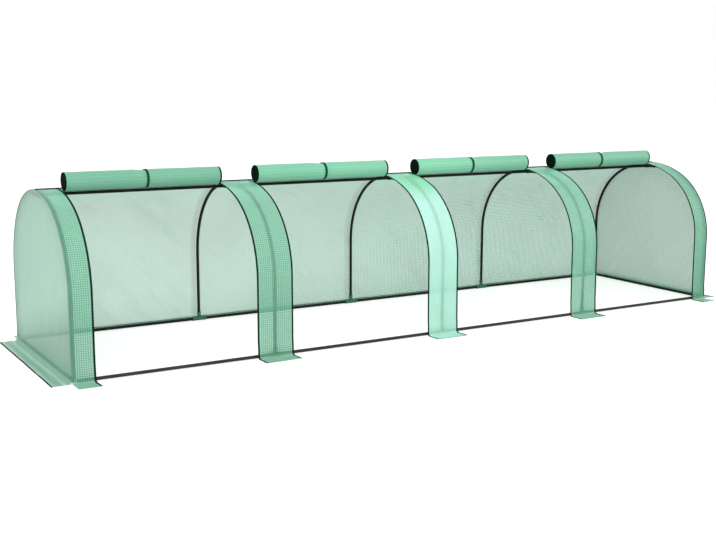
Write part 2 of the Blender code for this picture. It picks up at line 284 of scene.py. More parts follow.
def film_material(name, shade, sizes, clearness, contrast, fades=(), through=0.38,
                  wrinkles=1.0, slant=0.8, hoops=0.0):
    """Thread-reinforced film: a grid of darker threads, clearer cells and soft creases, with
    painted highlights on the creases' crests and painted shade in their dips and in soft clouds.

    clearness is how much light the cells let straight through, contrast how dark the threads
    are, and through how much of the rest comes from behind. Each fade is (axis, from, to,
    shade): from one place on the cloth to another, in metres, the film turns to that shade. A
    fifth value leans the fade by so much for each metre along the cloth.
    wrinkles is how strongly the creases and their painted highlights and shade show, and slant the
    angle that they run at. hoops is the step between hoops that the sheet lies against: a painted
    shadow of each hoop falls on the sheet to one side of it.
    """
    material, wire, spot = new_material(name, "UV")
    cut = wire.add("ShaderNodeSeparateXYZ", values={0: spot})
    half_pitch = sizes.thread_pitch / 2
    threads = [cut.pick(axis).math("PINGPONG", half_pitch)
               .between(half_pitch * 0.25, half_pitch * 0.55, 1.0, 0.0) for axis in ("X", "Y")]
    grid = threads[0].math("MAXIMUM", threads[1])
    tint = shade
    for axis, start, end, faded, *lean in fades:
        place = cut.pick(axis)
        if lean:
            place = place + cut.pick("X") * lean[0]
        tint = wire.colours(place.between(start, end), tint, faded)
    cloud = wire.speckle(spot, 2.6, 3.0)
    slanted = wire.add("ShaderNodeMapping", {"vector_type": "TEXTURE"},
                       {"Vector": spot, "Rotation": (0, 0, slant), "Scale": (0.80, 0.16, 1.0)})
    crease = wire.speckle(slanted, 1.7, 2.2)
    gathered = wire.speckle(spot, 3.7).between(0.42, 0.60, 0.25 * wrinkles, wrinkles)
    crest = crease.between(0.52, 0.72) * gathered
    dip = crease.between(0.46, 0.28) * gathered
    dark = wire.colours(contrast, tint, BLACK)
    tint = wire.colours(grid, tint, dark)
    # Painted highlight along the crests of the creases, and painted shade in their dips and in
    # soft clouds
    tint = wire.colours(crest * 0.18, tint, (0.80, 1.0, 0.90))
    shadow = cloud.between(0.35, 0.75, 0.0, 0.09 * wrinkles) + dip * 0.10
    # Painted shadow of each hoop on the sheet, to one side of it
    if hoops:
        beside = (cut.pick("X") + 0.020).math("PINGPONG", hoops / 2)
        shadow = shadow + beside.between(0.002, 0.034, 0.28, 0.0)
    tint = wire.colours(shadow, tint, BLACK)
    solid = (grid * 0.8 + crest * 0.2) * clearness + (1 - clearness)
    relief = grid * 0.25 + cloud * wrinkles + crease * gathered * 3.0
    normal = wire.bumped(relief, 0.5, 0.0016)
    gloss = wire.principled(tint, crest * 0.12 + 0.34, normal, IOR=1.46)
    behind = wire.add("ShaderNodeBsdfTranslucent", values={"Color": tint, "Normal": normal})
    body = wire.shaders(through, gloss, behind)
    straight = wire.add("ShaderNodeBsdfTransparent", values={"Color": (0.93, 1.0, 0.965)})
    wire.show(wire.shaders(solid.math("MINIMUM", 1.0), straight, body))
    return material


def steel_material(name, shade):
    """Green-black powder coat on steel tube, with fine peel, dust and rubbed spots."""
    material, wire, spot = new_material(name, "Object")
    peel = wire.speckle(spot, 900.0)
    dust = wire.speckle(spot, 9.0, 5.0, 0.65)
    rubbed = wire.speckle(spot, 34.0, 6.0, 0.7).between(0.66, 0.72)
    tint = wire.colours(dust.between(0.40, 0.75), shade, toned(shade, 1.5, 0.003))
    tint = wire.colours(rubbed * 0.5, tint, toned(shade, 0.7, 0.040))
    rough = dust * 0.25 + peel * 0.08 + 0.34
    normal = wire.bumped(peel, 0.25, 0.0003)
    wire.show(wire.principled(tint, rough, normal, 0.14, Metallic=rubbed * 0.4))
    return material


def moulding_material(name, shade):
    """Moulded plastic, with a fine grain, flow marks and paler scuffed patches."""
    material, wire, spot = new_material(name, "Object")
    stretched = wire.add("ShaderNodeMapping", values={"Vector": spot, "Scale": (1.0, 1.0, 3.0)})
    flow = wire.speckle(stretched, 40.0, 3.0)
    scuff = wire.speckle(spot, 120.0, 5.0, 0.7).between(0.60, 0.70)
    tint = wire.colours(flow.between(0.3, 0.7), shade, toned(shade, 1.35, 0.002))
    tint = wire.colours(scuff * 0.4, tint, toned(shade, 1.5, 0.020))
    rough = flow * 0.15 + scuff * 0.15 + 0.40
    normal = wire.bumped(wire.speckle(spot, 1400.0), 0.30, 0.0002)
    wire.show(wire.principled(tint, rough, normal, 0.3))
    return material


def webbing_material(name, shade, rib_pitch, shine=0.04):
    """Woven tape: ribs across it, a weave of threads and a little lint."""
    material, wire, spot = new_material(name, "UV")
    cut = wire.add("ShaderNodeSeparateXYZ", values={0: spot})
    across = cut.pick("X").math("PINGPONG", rib_pitch / 2) * (2 / rib_pitch)
    along = cut.pick("Y").math("PINGPONG", rib_pitch * 0.8) * (1.25 / rib_pitch)
    weave = across * along
    lint = wire.speckle(spot, 300.0, 4.0, 0.6)
    share = weave * 0.35 + lint.between(0.5, 0.8, 0.0, 0.4)
    tint = wire.colours(share, shade, toned(shade, 2.0, 0.001))
    normal = wire.bumped(weave + lint * 0.3, 0.5, 0.0005)
    wire.show(wire.principled(tint, lint * 0.2 + 0.62, normal, shine))
    return material


# Blender's tools, used as by hand


def deselect_all():
    for item in bpy.context.view_layer.objects.selected:
        item.select_set(False)


def make_active(piece):
    deselect_all()
    bpy.context.view_layer.objects.active = piece
    piece.select_set(True)


def primitive(kind, name, **settings):
    """A simple form to work on, under its own name."""
    deselect_all()
    getattr(bpy.ops.mesh, f"primitive_{kind}_add")(**settings)
    piece = bpy.context.view_layer.objects.active
    piece.name = piece.data.name = name
    return piece


def settle(piece):
    """Put a piece's place and turn into its mesh."""
    make_active(piece)
    bpy.ops.object.transform_apply(location=True, rotation=True, scale=True)
    return piece


def apply_modifier(piece, kind, **settings):
    make_active(piece)
    modifier = piece.modifiers.new(kind.title(), kind)
    for name, setting in settings.items():
        setattr(modifier, name, setting)
    bpy.ops.object.modifier_apply(modifier=modifier.name)
    return piece


def open_mesh(piece):
    """Start work on a piece's mesh, with all of it selected."""
    make_active(piece)
    bpy.ops.object.mode_set(mode="EDIT")
    bpy.ops.mesh.select_all(action="SELECT")


def close_mesh(piece):
    """Join corners that meet, turn all faces outwards and end the work on the mesh."""
    bpy.ops.mesh.select_all(action="SELECT")
    bpy.ops.mesh.remove_doubles(threshold=0.00001)
    bpy.ops.mesh.normals_make_consistent(inside=False)
    bpy.ops.object.mode_set(mode="OBJECT")
    return piece


def push(offset):
    """Extrude what is selected along an offset."""
    bpy.ops.mesh.extrude_region_move(TRANSFORM_OT_translate={"value": tuple(offset)})


def smooth(piece, degrees=35):
    make_active(piece)
    bpy.ops.object.shade_smooth_by_angle(angle=math.radians(degrees))
    return piece


def paint(piece, material):
    piece.data.materials.clear()
    piece.data.materials.append(material)


def fit(piece, material, slot, body="tunnel", node=None):
    """Paint a piece, put it in its body and hide the CAD node that it replaces. slot is not used.
    """
    paint(piece, material)
    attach(piece, body)
    if node:
        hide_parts(node)
    return piece


def copy_piece(piece, name, matrix):
    """A copy with a mesh of its own, moved by a matrix."""
    twin = piece.copy()
    twin.data = piece.data.copy()
    twin.name = twin.data.name = name
    twin.data.transform(matrix)
    bpy.context.scene.collection.objects.link(twin)
    return twin


def lay_sheet(name, columns, rows, place):
    """A grid of cloth. place(across, along), both from 0 to 1, gives a corner's point and its
    place on the flat cloth, in metres."""
    sheet = primitive("grid", name, x_subdivisions=columns, y_subdivisions=rows, size=1)
    mesh = sheet.data
    flat = []
    for corner in mesh.vertices:
        corner.co, spot = place(corner.co.x + 0.5, corner.co.y + 0.5)
        flat.append(spot)
    for loop, mark in zip(mesh.loops, mesh.uv_layers.active.data):
        mark.uv = flat[loop.vertex_index]
    mesh.shade_smooth()
    return sheet


def hem_strip(name, place, columns, rows, material, slot, body="tunnel", thickness=0.0008,
              node=None):
    """A narrow bound strip sewn over the film."""
    strip = lay_sheet(name, columns, rows, place)
    apply_modifier(strip, "SOLIDIFY", thickness=thickness, offset=0)
    return fit(smooth(strip, 60), material, slot, body, node)


def ease(value):
    value = min(1.0, max(0.0, value))
    return value * value * (3 - 2 * value)


def uneased(value):
    """What ease turns into value."""
    return 0.5 - math.sin(math.asin(1 - 2 * value) / 3)


def wave(*place):
    """A smooth random value at a place, from -1 to 1."""
    return noise.noise(Vector(place))


def own(values, number):
    """A numbered piece's value, of a row that starts again when it runs out."""
    return values[(number - 1) % len(values)]


# Lines that the film follows


def measured(points):
    """Distance to each point along the line through them."""
    marks = [0.0]
    for first, second in zip(points, points[1:]):
        marks.append(marks[-1] + (second - first).length)
    return marks


def found(marks, mark):
    """Number of the run that holds a mark, and the share of the run that lies before it."""
    index = min(bisect_right(marks, mark), len(marks) - 1)
    return index, (mark - marks[index - 1]) / (marks[index] - marks[index - 1])


def arc(centre, radius, start, end, steps):
    angles = [start + (end - start) * step / steps for step in range(steps + 1)]
    return [centre + Vector((math.cos(angle), math.sin(angle))) * radius for angle in angles]


class FilmLine:
    """The film's line across the tunnel, from the crest down to the edge of the skirt."""

    CROWN_STEPS = 24
    BEND_STEPS = 56
    FOLD_STEPS = 10
    LAY = 0.0006

    def __init__(self, sizes):
        bend = sizes.half_width - sizes.crown_half_width
        centre = Vector((sizes.crown_half_width, sizes.ridge_height - bend))
        lift = sizes.tube_radius + sizes.film_gap
        reach = bend + lift
        rise = sizes.crest_height - centre.y
        crown = (centre.x ** 2 + rise ** 2 - reach ** 2) / (2 * (rise - reach))
        crown_centre = Vector((0, sizes.crest_height - crown))
        spoke = centre - crown_centre
        meeting = math.atan2(spoke.y, spoke.x)
        foot = sizes.half_width + sizes.base_height + sizes.film_gap
        flare_foot = sizes.base_height + sizes.socket_reach + sizes.film_gap
        self.fold = sizes.fold_radius
        fold_centre = Vector((foot + self.fold, self.LAY + self.fold))
        self.points = arc(crown_centre, crown, math.pi / 2, meeting, self.CROWN_STEPS)
        self.points += arc(centre, reach, meeting, 0, self.BEND_STEPS)[1:]
        self.points += [Vector((sizes.half_width + lift, flare_foot + 0.03)),
                        Vector((foot, flare_foot)), Vector((foot, fold_centre.y))]
        self.ground_mark = measured(self.points)[-1]
        self.points += arc(fold_centre, self.fold, math.pi, 1.5 * math.pi, self.FOLD_STEPS)[1:]
        self.skirt_mark = measured(self.points)[-1]
        self.points.append(Vector((sizes.skirt_edge, self.LAY)))
        self.marks = measured(self.points)
        self.length = self.marks[-1]
        runs = [(second - first).normalized()
                for first, second in zip(self.points, self.points[1:])]
        faces = [Vector((-run.y, run.x)) for run in runs]
        joined = [(first + second).normalized() for first, second in zip(faces, faces[1:])]
        self.normals = [faces[0], *joined, faces[-1]]

    def at(self, mark, rise=0.0):
        """Point (y, z) at a distance from the crest, moved outwards by rise."""
        index, share = found(self.marks, min(max(mark, 0.0), self.length))
        point = self.points[index - 1].lerp(self.points[index], share)
        normal = self.normals[index - 1].lerp(self.normals[index], share)
        return point + normal * rise


def hoop_places(sizes):
    return [sizes.hoop_pitch * (number - sizes.bay_count / 2)
            for number in range(sizes.bay_count + 1)]


def bay_places(sizes):
    return [(left + right) / 2 for left, right in zip(hoop_places(sizes), hoop_places(sizes)[1:])]


def window_half_width(sizes):
    return sizes.hoop_pitch / 2 - sizes.band_half_width - 0.0003


def film_rise(sizes, line, x, mark):
    """How far the film stands out from its line: it hangs in a little between the hoops,
    with soft folds, and lies in low ripples along the skirt."""
    phase = (x / sizes.hoop_pitch + sizes.bay_count / 2) % 1
    from_hoop = 1 - abs(2 * phase - 1)
    if mark > line.skirt_mark:
        ripple = wave(x * 9, mark * 5, 4.2) + 0.35
        return 0.0035 * max(0.0, ripple) * ease((mark - line.skirt_mark) / 0.05)
    span = ease(from_hoop * 2.2)
    height = ease((mark - 0.05) / 0.22) * ease((line.ground_mark - 0.06 - mark) / 0.16)
    slack = 0.55 + wave(x * 4.2, mark * 2.4, 0.7)
    folds = math.sin((x * 1.3 + mark * 0.9) * 34 + 5 * wave(x * 2, mark * 2, 9))
    folds *= ease(wave(x * 2.3, mark * 1.7, 3.1) * 1.6 + 0.2)
    return -span * height * (0.006 * slack + 0.0016 * folds)


def film_point(sizes, line, side, x, mark, rise=0.0):
    y, z = line.at(mark, film_rise(sizes, line, x, mark) + rise)
    return Vector((x, side * y, z))


def strip_place(sizes, line, side, start, end, first=0.0, rise=0.0):
    """place() of a strip over the film between start and end along the tunnel, from a mark
    down to the edge of the skirt."""
    left, right = (start, end) if side == BACK else (end, start)

    def place(across, along):
        x = left + (right - left) * across
        mark = first + (line.length - first) * along
        return film_point(sizes, line, side, x, mark, rise), (x, mark)

    return place


# Pieces


class TunnelOperator(bpy.types.Operator):
    """What all makers of pieces share."""

    bl_options = {"REGISTER", "UNDO"}

    def execute(self, context):
        self.make(context.scene.tunnel_sizes, context.scene.tunnel_colours)
        return {"FINISHED"}


def bowed_tube(sizes, x, side, name):
    """Half a hoop: a ring drawn up the leg, spun round the bend and drawn to the crown."""
    bend_height = sizes.ridge_height - (sizes.half_width - sizes.crown_half_width)
    foot = sizes.base_height + sizes.tube_end
    tube = settle(primitive("circle", name, vertices=20, radius=sizes.tube_radius,
                            location=(x, side * sizes.half_width, foot)))
    open_mesh(tube)
    push((0, 0, bend_height - foot))
    bpy.ops.mesh.spin(steps=28, angle=-side * math.pi / 2, axis=(1, 0, 0),
                      center=(x, side * sizes.crown_half_width, bend_height))
    push((0, side * (sizes.tube_end - sizes.crown_half_width), 0))
    close_mesh(tube)
    return smooth(apply_modifier(tube, "SOLIDIFY", thickness=sizes.tube_wall, offset=-1))


class TUNNEL_OT_tubes(TunnelOperator):
    """Bend the hoops and coat all the steel tube"""

    bl_idname = "tunnel.tubes"
    bl_label = "Tubes"

    def make(self, sizes, colours):
        coat = steel_material("coated_steel", colours.steel)
        lit_coat = steel_material("worn_steel", colours.worn_steel)
        for number, x in enumerate(hoop_places(sizes), 1):
            for side, word in SIDE_WORDS.items():
                tube = bowed_tube(sizes, x, side, f"bowed_tube_{number}_{word}")
                fit(tube, coat, "tube", node=f"hoop_{number}_{word}")
        for node, piece in frame["nodes"].items():
            if "rail" in node or "ridge_tube" in node:
                for slot in piece.material_slots:
                    # Front rails take the lighter copy of the coat: painted light
                    slot.material = lit_coat if "front" in node else coat


SOCKET_SIDES = 28
BORE_PLAY = 0.0003


def turn_to(direction):
    return UP.rotation_difference(direction).to_euler()


def socket(sizes, direction):
    """A ring drawn along the socket, out to its lip, and back in down the bore."""
    bore, mouth = sizes.tube_radius + BORE_PLAY, sizes.socket_reach
    lip = mouth - sizes.collar_width
    outline = ((sizes.socket_radius, lip - 0.001), (sizes.collar_radius, lip),
               (sizes.collar_radius, mouth - 0.0008), (sizes.collar_radius - 0.0008, mouth),
               (bore + 0.0006, mouth), (bore, mouth - 0.0010),
               (bore, sizes.tube_end - 0.0003))
    radius, mark = sizes.socket_radius, 0.0
    ring = settle(primitive("circle", "socket", vertices=SOCKET_SIDES, radius=radius,
                            fill_type="NGON", rotation=turn_to(direction)))
    open_mesh(ring)
    for next_radius, next_mark in outline:
        push(direction * (next_mark - mark))
        bpy.ops.transform.resize(value=[next_radius / radius] * 3,
                                 center_override=direction * next_mark)
        radius, mark = next_radius, next_mark
    return close_mesh(ring)


def web(sizes, first, second):
    """Triangular plate in the corner between two sockets."""
    through = first.cross(second) * sizes.web_thickness
    plate = primitive("circle", "web", vertices=3, fill_type="NGON")
    corners = (Vector(), first * sizes.web_reach, second * sizes.web_reach)
    for corner, place in zip(plate.data.vertices, corners):
        corner.co = place - through / 2
    open_mesh(plate)
    push(through)
    return close_mesh(plate)


def moulded_joint(sizes, name, *directions):
    """Hub, sockets and webs joined in one moulding with eased edges."""
    body = primitive("uv_sphere", name, segments=SOCKET_SIDES, ring_count=16,
                     radius=sizes.collar_radius)
    tools = [socket(sizes, direction) for direction in directions]
    for index, first in enumerate(directions):
        tools += [web(sizes, first, second) for second in directions[index + 1:]
                  if abs(first.dot(second)) < 0.5]
    for tool in tools:
        apply_modifier(body, "BOOLEAN", operation="UNION", solver="EXACT", object=tool)
    depth = sizes.socket_reach - sizes.tube_end
    for direction in directions:
        bore = primitive("cylinder", "bore", vertices=SOCKET_SIDES, depth=depth,
                         radius=sizes.tube_radius + BORE_PLAY, rotation=turn_to(direction),
                         location=direction * (sizes.tube_end + depth / 2))
        apply_modifier(body, "BOOLEAN", operation="DIFFERENCE", solver="EXACT", object=bore)
        tools.append(bore)
    for tool in tools:
        bpy.data.objects.remove(tool)
    apply_modifier(body, "BEVEL", width=0.0005, segments=2, limit_method="ANGLE",
                   angle_limit=math.radians(38), harden_normals=False)
    return smooth(body, 40)


class TUNNEL_OT_joints(TunnelOperator):
    """Mould the joints: collared sockets on a hub, with stiffening webs between them"""

    bl_idname = "tunnel.joints"
    bl_label = "Joints"

    def make(self, sizes, colours):
        black = moulding_material("black_moulding", colours.joint_black)
        green = moulding_material("green_moulding", colours.joint_green)
        ridge_end = moulded_joint(sizes, "ridge_end", ALONG, TO_BACK, TO_FRONT)
        ridge_cross = moulded_joint(sizes, "ridge_cross", ALONG, AGAINST, TO_BACK, TO_FRONT)
        corner = moulded_joint(sizes, "corner", ALONG, TO_BACK, UP)
        tee = moulded_joint(sizes, "tee", ALONG, AGAINST, UP)
        places = hoop_places(sizes)
        last = len(places)
        quarter_turns = {(last, FRONT): 1, (last, BACK): 2, (1, BACK): 3}
        for number, x in enumerate(places, 1):
            is_end = number in (1, last)
            spots = [("ridge", ridge_end if is_end else ridge_cross, 0, sizes.ridge_height,
                      2 if number == last else 0, black, "ridge_joint")]
            spots += [(word, corner if is_end else tee, side * sizes.half_width,
                       sizes.base_height, quarter_turns.get((number, side), 0), green,
                       "base_joint") for side, word in SIDE_WORDS.items()]
            for word, pattern, y, z, turns, finish, slot in spots:
                matrix = (Matrix.Translation((x, y, z))
                          @ Matrix.Rotation(turns * math.pi / 2, 4, "Z"))
                joint = copy_piece(pattern, f"moulded_{word}_{number}", matrix)
                fit(joint, finish, slot, node=f"{word}_joint_{number}")
        for pattern in (ridge_end, ridge_cross, corner, tee):
            bpy.data.objects.remove(pattern)


HEM_WIDTH = 0.008


def skirt_hem(name, sizes, line, side, start, end, columns, slot):
    """The turned edge of a skirt, in the film of the hems."""
    place = strip_place(sizes, line, side, start, end, line.length - HEM_WIDTH, 0.0005)
    return hem_strip(name, place, columns, 1, bpy.data.materials["hem_film"], slot)


class TUNNEL_OT_back_cover(TunnelOperator):
    """Stretch the back wall's film over the hoops, with its skirt and bound edges"""

    bl_idname = "tunnel.back_cover"
    bl_label = "Back cover"

    WELT_HALF_WIDTH = 0.0038
    WELT_HEIGHT = 0.0054

    def make(self, sizes, colours):
        line = FilmLine(sizes)
        end = sizes.cover_end
        ground = line.ground_mark
        # Painted shade towards the right and near the crest
        fades = [("X", -1.3, 0.9, colours.wall_right), ("Y", 0.42, 0.08, colours.wall_top),
                 # Painted shadow of the rail on the film just above it, then back to the film's
                 # own colour on the skirt
                 ("Y", ground - 0.014, ground - 0.006, colours.wall_foot),
                 ("Y", ground + 0.003, ground + 0.010, colours.wall)]
        film = film_material("back_film", colours.wall, sizes, 0.55, 0.38, fades, wrinkles=1.4,
                             hoops=sizes.hoop_pitch)
        tape = webbing_material("seam_tape", colours.tape, 0.0012)
        film_material("hem_film", colours.band_low, sizes, 0.05, 0.30)
        cover = lay_sheet("back_wall", 336, 104, strip_place(sizes, line, BACK, -end, end))
        hem = skirt_hem("back_skirt_hem", sizes, line, BACK, -end, end, 336, "pale_film")

        def welt_place(across, along):
            x = -end + 2 * end * across
            y = -self.WELT_HALF_WIDTH * math.cos(math.pi * along)
            z = line.at(abs(y), 0.0003).y + self.WELT_HEIGHT * math.sin(math.pi * along)
            return Vector((x, y, z)), (x, 0.01 * along)

        seam = fit(lay_sheet("crest_welt", 200, 6, welt_place), tape, "zip_tape")
        fit(cover, film, "pale_film", node="cover_back")


class TUNNEL_OT_bands(TunnelOperator):
    """Stretch a band of film over the front of each hoop, down to a foot on the ground"""

    bl_idname = "tunnel.bands"
    bl_label = "Front bands"

    # The middle band catches the light, and the others hardly do: painted light, a paler and
    # clearer film by each band's share
    GLOW = (0.0, 0.0, 1.0, 0.10, 0.0)

    def make(self, sizes, colours):
        line = FilmLine(sizes)
        for number, x in enumerate(hoop_places(sizes), 1):
            start = max(x - sizes.band_half_width, -sizes.cover_end)
            end = min(x + sizes.band_half_width, sizes.cover_end)
            glow = own(self.GLOW, number)
            bright = mixed_shade(colours.band, colours.bright_band, glow)
            top = mixed_shade(colours.band_top, colours.bright_top, glow)
            low = mixed_shade(colours.band_low, colours.bright_band, glow * 0.7)
            fades = [("Y", 0.34 + 0.06 * glow, 0.12 + 0.10 * glow, top),
                     ("Y", 0.70, 0.95, low)]
            film = film_material(f"band_film_{number}", bright, sizes,
                                 0.34 - 0.16 * glow, 0.56 - 0.36 * glow, fades, wrinkles=0.4)
            band = lay_sheet(f"front_band_{number}", 18, 150,
                             strip_place(sizes, line, FRONT, start, end))
            hem = skirt_hem(f"band_hem_{number}", sizes, line, FRONT, start, end, 18,
                            "front_film")
            fit(band, film, "front_film", node=f"cover_front_{number}")
            end - start


# How much of an end panel's rows go to its arch. The others go to its skirt.
ARCH_SHARE = 0.88


def skirt_rise(edge, run, side):
    """How far the skirt lies off the ground: a long soft fold beside the rail, and low
    slanting ripples out to its edge."""
    fold = 0.007 * math.exp(-((run - 0.22) / 0.13) ** 2)
    fold *= 0.7 + 0.6 * wave(edge * 1.5, side * 7.0, 0.4)
    ripple = wave(edge * 3.0 + run * 2.5, run * 2.0, side * 3.0)
    ripple += 0.15 * wave(edge * 9.5 + run * 1.5, run * 3.0, side)
    height = 0.0060 * ease(run * 2) * (1 - 0.7 * ease((run - 0.6) * 2.5))
    lifted = fold * ease(run * 6) + height * max(0.0, ripple + 0.15)
    return lifted * (0.3 + 0.7 * ease((1 - abs(edge)) * 7))


def panel_place(sizes, line, side):
    """place() of an end panel: down the arch, round a fold and out over the ground."""
    face = sizes.cover_end + 0.0010
    crest = sizes.crest_height
    ground = line.ground_mark

    def place(across, along):
        edge = 2 * across - 1
        if along <= ARCH_SHARE:
            half, z = line.at(ground * along / ARCH_SHARE)
            y = -side * edge * half
            z = max(z, line.LAY + line.fold)
            margin = min(1.0, (1 - abs(edge)) * max(half, 0.001) / 0.09)
            hang = ease(margin) * ease((z - 0.05) / 0.15) * ease((crest - z) / 0.12)
            soft = 0.5 + wave(y * 5, z * 4, side * 2.0)
            fold = math.sin(y * 40 + z * 16 + 4 * wave(y * 3, z * 3, 5))
            x = face - hang * (0.005 * soft + 0.0012 * fold)
            return Vector((side * x, y, z)), (y, crest - z)
        reach = 6 * (along - ARCH_SHARE) / (1 - ARCH_SHARE)
        y = -side * edge * line.at(ground).x
        angle = min(1.0, reach) * math.pi / 2
        run = max(0.0, (reach - 1) / 5)
        out = line.fold * (1 - math.cos(angle)) + run * (sizes.end_skirt - line.fold)
        z = line.LAY + line.fold * (1 - math.sin(angle)) + skirt_rise(edge, run, side)
        return Vector((side * (face + out), y, z)), (y, crest + out)

    return place


class TUNNEL_OT_end_panels(TunnelOperator):
    """Close both ends with an arched sheet, its bound edge and a skirt on the ground"""

    bl_idname = "tunnel.end_panels"
    bl_label = "End panels"

    # How far each bound edge laps over the covers
    LAPS = {LEFT: 0.008, RIGHT: 0.005}

    def make(self, sizes, colours):
        line = FilmLine(sizes)
        crest = sizes.crest_height
        # Painted shade at the foot of the left end, leaning darker towards the front
        fades = [("Y", crest - 0.30, crest - 0.04, colours.end_foot, -0.30),
                 # The panel darkens to the skirt's colour along the rail: painted shade. The paler
                 # bands that follow are painted light on the bulge beside the rail, and a paler
                 # edge
                 ("Y", crest - 0.05, crest - 0.02, colours.skirt),
                 ("Y", crest + 0.008, crest + 0.028, colours.skirt_edge),
                 ("Y", crest + 0.030, crest + 0.050, colours.skirt),
                 ("Y", crest + 0.060, crest + 0.090, colours.skirt_edge)]
        films = {LEFT: film_material("left_end_film", colours.end_left, sizes, 0.20, 0.14,
                                     fades, wrinkles=0.30),
                 RIGHT: film_material("right_end_film", colours.end_right, sizes, 0.20, 0.40,
                                      fades[1:], wrinkles=0.6)}
        tape = bpy.data.materials["seam_tape"]
        # The left end is bound in green, and the right one in a narrower black tape
        bindings = {LEFT: film_material("edge_binding", colours.binding, sizes, 0.0, 0.2,
                                        through=0.1), RIGHT: tape}
        arch_area = sum((first.x + second.x) * max(0.0, first.y - second.y)
                        for first, second in zip(line.points, line.points[1:]))
        half = line.at(line.ground_mark).x
        for side, word in END_WORDS.items():
            panel = lay_sheet(f"end_{word}", 72, 96, panel_place(sizes, line, side))
            if panel.data.polygons[0].normal.x * side < 0:
                panel.data.flip_normals()
            for edge_side, edge_word in SIDE_WORDS.items():
                def bound_edge(across, along):
                    """From the film's edge, round the corner and 4 mm down the panel."""
                    inwards = 2 * self.LAPS[side] * max(0.0, 0.5 - across)
                    down = HEM_WIDTH * max(0.0, across - 0.5)
                    half_arch, z = line.at(line.ground_mark * along, 0.0008 - down)
                    out = sizes.cover_end + (0.0018 if across >= 0.5 else -inwards)
                    spot = Vector((side * out, edge_side * half_arch, max(z, 0.004)))
                    return spot, (0.012 * across, along * line.length)

                hem_strip(f"end_seam_{word}_{edge_word}", bound_edge, 4, 110,
                                      bindings[side], "front_film")

            def edge_tape(across, along):
                y = half * (2 * along - 1)
                x = side * (sizes.cover_end + sizes.end_skirt + 0.001 - HEM_WIDTH * across)
                z = line.LAY + 0.0007 + skirt_rise(y / half, 1.0, side)
                return Vector((x, y, z)), (across * HEM_WIDTH, y)

            hem_strip(f"end_skirt_hem_{word}", edge_tape, 1, 72, tape, "zip_tape")
            fit(panel, films[side], "pale_film", node=f"end_panel_{word}")


TOOTH_LIFT = 0.0016


def zip_tooth(sizes):
    """One moulded tooth: a block drawn in towards its top."""
    tooth = primitive("cube", "tooth", size=1)
    tooth.data.transform(Matrix.Diagonal((0.0042, sizes.tooth_pitch * 0.5, 0.0012, 1)))
    for corner in tooth.data.vertices:
        corner.select = corner.co.z > 0
    bpy.ops.object.mode_set(mode="EDIT")
    bpy.ops.transform.resize(value=(0.7, 0.6, 1), center_override=(0, 0, 0))
    return close_mesh(tooth)


def zip_teeth(sizes, line, tooth, name, x):
    """Teeth along a tape, one by one, as a single piece."""
    corners, faces = [], []
    shape = [corner.co.copy() for corner in tooth.data.vertices]
    pattern = [tuple(face.vertices) for face in tooth.data.polygons]
    for index in range(int((line.length - 0.02) / sizes.tooth_pitch)):
        mark = 0.010 + index * sizes.tooth_pitch
        spot = film_point(sizes, line, FRONT, x, mark, TOOTH_LIFT)
        ahead = film_point(sizes, line, FRONT, x, mark + 0.002, TOOTH_LIFT)
        down = (ahead - spot).normalized()
        turn = Matrix((AGAINST, down, AGAINST.cross(down))).transposed()
        first = len(corners)
        corners += [spot + turn @ point for point in shape]
        faces += [tuple(first + corner for corner in face) for face in pattern]
    mesh = bpy.data.meshes.new(name)
    mesh.from_pydata(corners, [], faces)
    piece = bpy.data.objects.new(name, mesh)
    bpy.context.scene.collection.objects.link(piece)
    open_mesh(piece)
    return close_mesh(piece)


class TUNNEL_OT_zips(TunnelOperator):
    """Sew a zip tape with its teeth down both sides of each window"""

    bl_idname = "tunnel.zips"
    bl_label = "Zips"

    def make(self, sizes, colours):
        line = FilmLine(sizes)
        tape = bpy.data.materials["seam_tape"]
        teeth = moulding_material("zip_teeth", colours.tape)
        tooth = zip_tooth(sizes)
        reach = window_half_width(sizes)
        for number, middle in enumerate(bay_places(sizes), 1):
            for side, word in END_WORDS.items():
                inner, outer = sorted((middle + side * (reach + sizes.tape_lap),
                                       middle + side * (reach - sizes.tape_width)))
                place = strip_place(sizes, line, FRONT, inner, outer, rise=0.0004)
                hem_strip(f"zip_tape_{word}_{number}", place, 2, 150, tape, "zip_tape",
                          node=f"zip_tape_{number}" if side == LEFT else None)
                row = zip_teeth(sizes, line, tooth, f"zip_teeth_{word}_{number}",
                                (inner + outer) / 2)
                fit(row, teeth, "zip_tape")

            # A black seam allowance under the crest, which also stands in for the shade beneath
            # each roll: partly painted shade
            def flap_place(across, along):
                x = middle + (1 - 2 * across) * reach
                y = -0.0012 - 0.0085 * along
                z = sizes.crest_height - 0.0012 - 0.0125 * along ** 1.3
                return Vector((x, y, z)), (x, 0.016 * along)

            hem_strip(f"crest_flap_{number}", flap_place, 60, 4, tape, "zip_tape")
        bpy.data.objects.remove(tooth)


